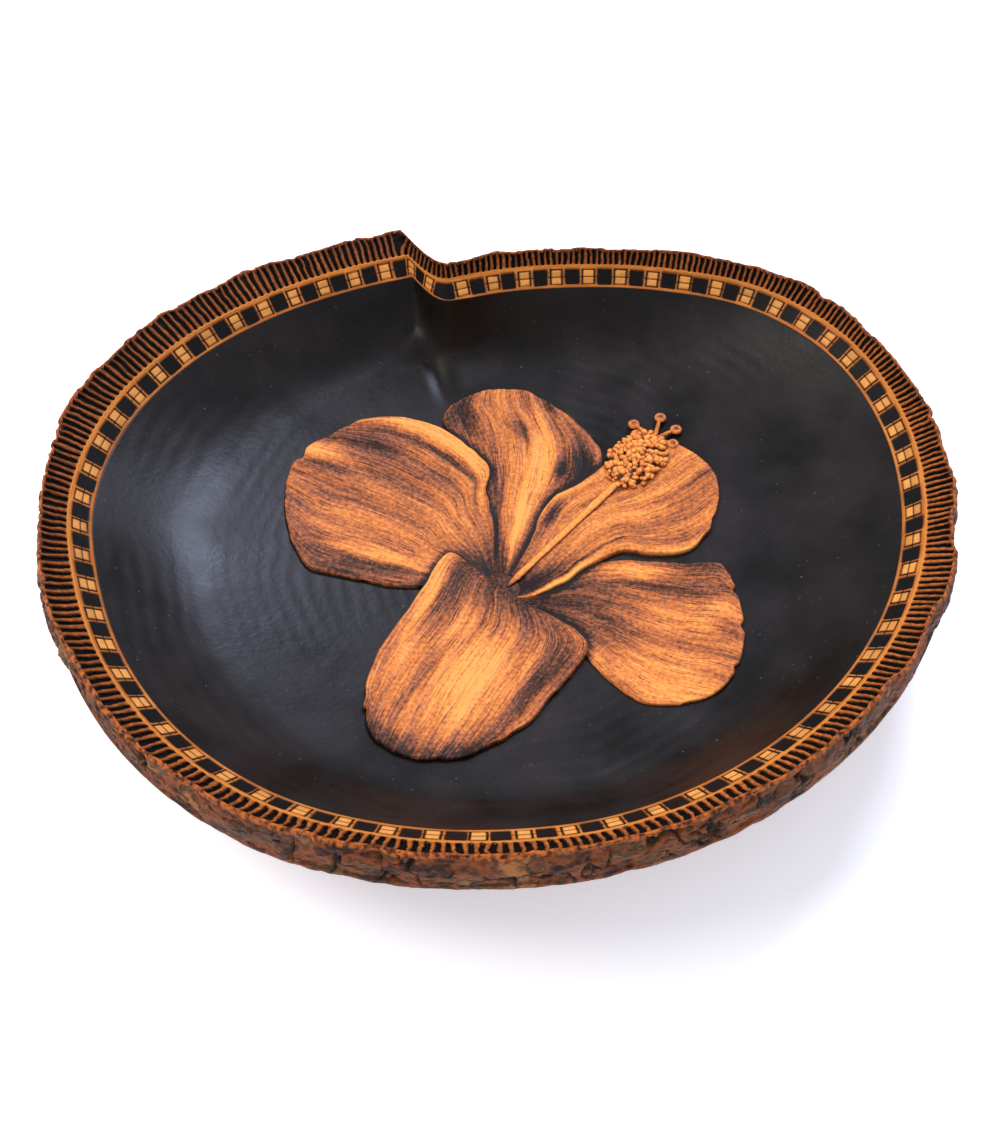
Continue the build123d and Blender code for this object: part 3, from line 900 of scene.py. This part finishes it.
def makePetal(name, shape, uppers):
    s = petalSizes
    u = np.linspace(0, 1, s["rowsAlong"] + 1)
    v = np.linspace(0, 1, s["columnsAcross"] + 1)
    grid, cross = np.meshgrid(u, v, indexing="ij")
    plan = petalPlan(shape, u, v)
    x, y = plan[..., 0], plan[..., 1]
    seed = shape["seed"] * 211
    stray = np.stack([softNoise(x / 6, y / 6, 0 * x, seed + k) for k in (0, 1)], -1) - 0.5
    plan = plan + s["edgeWander"] * stray * smoothStep(0.0, 0.2, u)[:, None, None]
    x, y = plan[..., 0], plan[..., 1]
    # height: two edges and the middle, joined by a parabola, lower at the throat
    highA, highB, middle = shape["heights"]
    height = (1 - cross) * highA + cross * highB
    height = height + (middle - (highA + highB) / 2) * 4 * cross * (1 - cross)
    height = height * (0.35 + 0.65 * smoothStep(0, 0.22, grid))
    # folds run from the throat outwards and drift sideways, with finer veins between them
    drift = layeredNoise(cross * 5, grid * 1.6, 0 * grid, seed + 3)
    folds = np.sin((cross * 7 + 1.6 * drift + shape["seed"]) * 2 * math.pi)
    height = height + s["foldHeight"] * folds * smoothStep(0.1, 0.6, grid)
    veins = layeredNoise(cross * 46, grid * 2.5, 0 * grid, seed + 5, 3) - 0.5
    height = height + 2 * s["veinHeight"] * veins * smoothStep(0.03, 0.3, grid)
    height = addSpots(height, shape["lifts"], grid, cross)
    # rounded border, a quarter circle over the mm from the nearest edge
    span = np.hypot(*(plan[:, -1] - plan[:, 0]).T)[:, None]
    border = np.minimum(np.minimum(cross, 1 - cross) * span, (1 - grid) * s["tipLength"])
    rounding = np.sqrt(np.clip(1 - (1 - np.clip(border / s["edgeRound"], 0, 1)) ** 2, 0, 1))
    height = height * (0.72 + 0.28 * rounding)
    base = floorSurface(x, y)
    top = np.stack([x, y, base + np.maximum(height, 0.3)], -1)
    under = np.stack([x, y, base - s["sink"]], -1)
    # burning from the tone and the marks; some marks are painted highlight on a lift and painted shade
    # beside it
    burnAndShade = addSpots(shape["tone"] + 0.0 * grid, shape["marks"], grid, cross)
    burnAndShade = burnAndShade + 0.7 * (layeredNoise(cross * 7, grid * 3, 0 * grid, seed + 7) - 0.5)
    # painted shade in the troughs of the folds and painted highlight on their crests
    burnAndShade = burnAndShade - 0.05 * folds * smoothStep(0.1, 0.5, grid)
    # a lower petal gets painted shade along the edge of an upper one that lies over it
    for upper in uppers:
        outline = upper["edgeA"] + upper["tip"] + upper["edgeB"][::-1]
        rim = smoothPath(outline, np.linspace(0, 1, 240))
        nearest = np.hypot(x[..., None] - rim[:, 0], y[..., None] - rim[:, 1]).min(-1)
        burnAndShade = burnAndShade + s["shade"] * bump(nearest, 0, s["shadeWidth"]) * smoothStep(0.05, 0.2, grid)
    # faces: the top, the same turned over for the underside, and a strip round the edge
    count = grid.size
    index = np.arange(count).reshape(grid.shape)
    topQuads = np.stack([index[:-1, :-1], index[1:, :-1], index[1:, 1:], index[:-1, 1:]], -1)
    topQuads = topQuads.reshape(-1, 4)
    loop = np.concatenate([index[0, :-1], index[:-1, -1], index[-1, :0:-1], index[:0:-1, 0]])
    after = np.roll(loop, -1)
    sides = np.stack([loop, after, after + count, loop + count], -1)
    quads = np.concatenate([topQuads, topQuads[:, ::-1] + count, sides])
    # edge a lies to the left or to the right, so look which way the top is wound
    row, column = s["rowsAlong"] * 2 // 5, s["columnsAcross"] // 3
    corner = top[row, column]
    if np.cross(corner - top[row, column - 1], top[row + 1, column] - corner)[2] > 0:
        quads = quads[:, ::-1]
    title = name.replace("_", " ").title().replace(" ", "")
    petal = buildMesh(title, np.concatenate([top.reshape(-1, 3), under.reshape(-1, 3)]), quads)
    addAttribute(petal, "burnAndShade", [burnAndShade, burnAndShade])
    # own UV map: along the petal and across it, moved on for each petal
    corners = np.zeros(len(petal.data.loops), np.int32)
    petal.data.loops.foreach_get("vertex_index", corners)
    veinMap = np.stack([grid + shape["seed"] * 3, cross], -1).reshape(-1, 2)[corners % count]
    layer = petal.data.uv_layers.new(name="veins")
    layer.data.foreach_set("uv", veinMap.astype(np.float32).reshape(-1))
    finishPiece(petal, petalWood, [name])


# Column, anthers and stigma pads

partsSizes = {
    "throat": (3, -14),
    "throatPatch": (1.5, -13.0),      # the burnt hollow that petals and column come out of
    "throatPatchSize": (9.5, 7.0, 1.5),
    "tip": (56, 43),
    "pastTip": 4,                     # the column runs on under the anthers
    "radiusThroat": 1.7,
    "radiusTip": 2.1,
    "columnSides": 28,
    "columnRows": 60,
    "antherMiddle": (66, 56),
    "antherLength": 34.0,
    "antherBreadth": 27.0,
    "antherHeight": 4.2,
    "beads": 190,
    "beadRadius": 1.45,
    "fork": (75, 66),
    "pads": [(66, 77), (79, 79), (86, 71), (67, 71), (84, 63)],
    "padRadius": 2.9,
    "padHeight": 1.6,
}


def tube(spots, radii, sides, flat=1.0):
    # a profile carried along a path: a circle of the path's radius, square to it, and
    # closed by a point at both ends
    run = np.gradient(spots, axis=0)
    run /= np.linalg.norm(run, axis=1)[:, None]
    side = np.cross(run, [0, 0, 1.0])
    side /= np.linalg.norm(side, axis=1)[:, None]
    up = np.cross(side, run)
    angle = (np.arange(sides) / sides * 2 * math.pi)[None, :, None]
    ring = np.cos(angle) * side[:, None] + flat * np.sin(angle) * up[:, None]
    points = (spots[:, None] + radii[:, None, None] * ring).reshape(-1, 3)
    return np.concatenate([points, spots[:1], spots[-1:]]), *closedFaces(len(spots), sides)


def bead(centre, sizes, turn, rings, sides):
    # a ball stretched three ways, then turned about its upright
    polar = (np.arange(1, rings) / rings * math.pi)[:, None]
    angle = (np.arange(sides) / sides * 2 * math.pi)[None, :]
    ball = np.stack([np.sin(polar) * np.cos(angle), np.sin(polar) * np.sin(angle),
                     np.cos(polar) + 0 * angle], -1)
    points = np.concatenate([ball.reshape(-1, 3), [[0, 0, 1], [0, 0, -1]]]) * sizes
    cosine, sine = math.cos(turn), math.sin(turn)
    spin = np.array([[cosine, -sine, 0], [sine, cosine, 0], [0, 0, 1]])
    return points @ spin.T + np.array(centre), *closedFaces(rings - 1, sides)


def makeParts(name, parts, burnsAndShades, node):
    # tubes and beads in one mesh, each with its own burning and painted shade
    points, quads, triangles, values, offset = [], [], [], [], 0
    for (spots, faces, fans), burnAndShade in zip(parts, burnsAndShades):
        points.append(spots)
        quads.append(faces + offset)
        triangles.append(fans + offset)
        values.append(np.broadcast_to(burnAndShade, len(spots)))
        offset += len(spots)
    piece = buildMesh(name, *(np.concatenate(group) for group in (points, quads, triangles)))
    addAttribute(piece, "burnAndShade", np.concatenate(values))
    finishPiece(piece, antherWood, [node])


def makeColumn():
    s = partsSizes
    rows, sides = s["columnRows"], s["columnSides"]
    # from the throat past the tip, bowed a little, swelling and thinning as a knife leaves it
    share = np.linspace(0, 1, rows)
    x, y = (start + (end + s["pastTip"] - start) * share
            for start, end in zip(s["throat"], s["tip"]))
    y = y + 1.6 * np.sin(share * math.pi)
    radius = s["radiusThroat"] + (s["radiusTip"] - s["radiusThroat"]) * share
    radius = radius * (1 + 0.06 * np.sin(share * 19)) * smoothStep(-0.06, 0.1, share)
    spots = np.stack([x, y, floorSurface(x, y) + 2.1 + 0.1 * np.sin(share * 9)], -1)
    around = np.concatenate([np.tile(np.arange(sides), rows), [0, 0]]) / sides * 2 * math.pi
    along = np.concatenate([np.repeat(share, sides), [0, 1]])
    # painted highlight along the top and painted shade along both sides
    burnAndShade = 0.12 + 0.6 * smoothStep(0.9, 0.2, np.sin(around)) + 0.6 * np.exp(-along / 0.07)
    x, y = s["throatPatch"]
    patch = bead((x, y, floorSurface(x, y) + 0.2), s["throatPatchSize"], -0.8, 12, 32)
    makeParts("staminalColumn", [tube(spots, radius, sides, 0.5), patch], [burnAndShade, 0.86],
              "staminal_column")


def makeAnthers():
    s = partsSizes
    rng = np.random.default_rng(58)
    bearing = math.atan2(s["tip"][1] - s["throat"][1], s["tip"][0] - s["throat"][0])
    cosine, sine = math.cos(bearing), math.sin(bearing)
    middleX, middleY = s["antherMiddle"]
    lengthHalf, breadthHalf = s["antherLength"] / 2, s["antherBreadth"] / 2
    # a mound under beads in sunflower spacing over an oval, shaken a little, coloured dark as painted
    # shade in the gaps between the beads
    moundSizes = (lengthHalf - 1.5, breadthHalf - 1.5, s["antherHeight"] - 1.8)
    moundHeight = floorSurface(middleX, middleY) + 1.2
    parts, burnsAndShades = [bead((middleX, middleY, moundHeight), moundSizes, bearing, 14, 40)], [0.8]
    for number in range(s["beads"]):
        away = math.sqrt((number + 0.5) / s["beads"])
        angle = number * 2.39996 + rng.normal(0, 0.12)      # the golden angle, in radians
        along, across = away * lengthHalf * math.cos(angle), away * breadthHalf * math.sin(angle)
        x = middleX + along * cosine - across * sine + rng.normal(0, 0.25)
        y = middleY + along * sine + across * cosine + rng.normal(0, 0.25)
        dome = (s["antherHeight"] - 0.8) * math.sqrt(max(1 - away**2, 0))
        z = floorSurface(x, y) + 1.7 + dome + rng.normal(0, 0.25)
        size = s["beadRadius"] * rng.uniform(0.7, 1.2)
        sizes = (size * rng.uniform(1.0, 1.7), size, size * 0.8)
        parts.append(bead((x, y, z), sizes, rng.uniform(0, 3.14), 5, 8))
        # painted highlight on top and painted shade below, and some beads darker than others
        paintedShades = np.concatenate([np.repeat([0.05, 0.3, 0.62, 0.8], 8), [0.0, 0.9]])
        burnsAndShades.append(paintedShades + rng.uniform(-0.05, 0.3))
    makeParts("antherCluster", parts, burnsAndShades, "anther_cluster")


def makePads():
    s = partsSizes
    fork = np.array([*s["fork"], floorSurface(*s["fork"]) + 2.4])
    parts, burnsAndShades = [bead(fork, (1.8, 1.8, 1.6), 0, 7, 14)], [0.45]
    for spot in s["pads"]:
        # stalk: bowed up between the fork and the pad
        end = np.array([*spot, floorSurface(*spot) + 2.0])
        share = np.linspace(0, 1, 12)[:, None]
        path = fork * (1 - share) + end * share
        path[:, 2] += 0.6 * np.sin(share[:, 0] * math.pi)
        # pad: a low dome with a dished, darker middle
        dome = bead(end, (s["padRadius"], s["padRadius"], s["padHeight"]), 0, 12, 24)
        points = dome[0]
        away = np.hypot(*(points - end)[:, :2].T) / s["padRadius"]
        points[:, 2] -= 0.9 * bump(away, 0, 0.5) * (points[:, 2] > end[2])
        parts += [tube(path, np.linspace(1.15, 0.8, 12), 10), dome]
        burnsAndShades += [0.35, 0.62 * bump(away, 0, 0.45) + 0.3]
    makeParts("stigmaPads", parts, burnsAndShades, "stigma_pads")


makeBowl()
makeCheckBorder()
makeFlutedBorder()
makeBarkEdge()
uppers = []
for petalName, petalShape in petalShapes.items():
    makePetal(petalName, petalShape, uppers)
    uppers.append(petalShape)
makeColumn()
makeAnthers()
makePads()


# Floor, light and camera

studioSizes = {
    "floorHalf": 3.0,
    "floorGlow": 0.44,        # lifts the floor to nearly white
    "worldStrength": 0.62,
    # each lamp's place, width, watts and colour
    "keySoftbox": ((0.50, 1.03, 1.27), 0.5, 22.0, "#d6dfff"),
    "fillSoftbox": ((-1.1, 0.1, 1.3), 0.9, 17.0, "#fff8f0"),
    "cameraPlace": (0.0011, -0.3352, 0.4536),
    "cameraTilt": 37.3,       # degrees up from straight down
    "lens": 38.13,
    "sensor": 36,
}

# Matt pale paint: no pattern to see
paint, paintTree, paintShader = newMaterial("mattPalePaint", 0.9, 0.2)
paintShader.inputs["Base Color"].default_value = hexColour("#f4f4f6")
paintShader.inputs["Emission Color"].default_value = hexColour("#f2f5ff")
paintShader.inputs["Emission Strength"].default_value = studioSizes["floorGlow"]
half = studioSizes["floorHalf"]
ground = bpy.data.meshes.new("studioFloor")
groundCorners = [(-half, -half, 0), (half, -half, 0), (half, half, 0), (-half, half, 0)]
ground.from_pydata(groundCorners, [], [(0, 1, 2, 3)])
ground.materials.append(paint)
addObject("studioFloor", ground)

world = bpy.data.worlds.new("studioRoom")
bpy.context.scene.world = world
world.use_nodes = True
background = world.node_tree.nodes["Background"]
background.inputs["Color"].default_value = hexColour("#f3f5ff")
background.inputs["Strength"].default_value = studioSizes["worldStrength"]


def addLight(name, place, size, strength, code):
    # a round soft lamp that looks at the middle of the bowl
    lamp = bpy.data.lights.new(name, "AREA")
    lamp.shape = "DISK"
    lamp.size = size
    lamp.energy = strength
    lamp.color = hexColour(code)[:3]
    thing = addObject(name, lamp)
    thing.location = place
    toLamp = np.array(place) / np.linalg.norm(place)
    thing.rotation_euler = (math.acos(toLamp[2]), 0, math.atan2(toLamp[0], -toLamp[1]))


for lampName in ("keySoftbox", "fillSoftbox"):
    addLight(lampName, *studioSizes[lampName])

lens = bpy.data.cameras.new("studioCamera")
lens.lens = studioSizes["lens"]
lens.sensor_width = studioSizes["sensor"]
camera = addObject("studioCamera", lens)
camera.location = studioSizes["cameraPlace"]
camera.rotation_euler = (math.radians(studioSizes["cameraTilt"]), 0, 0)
bpy.context.scene.camera = camera
bpy.context.scene.view_settings.view_transform = "Standard"
print("studio ready")
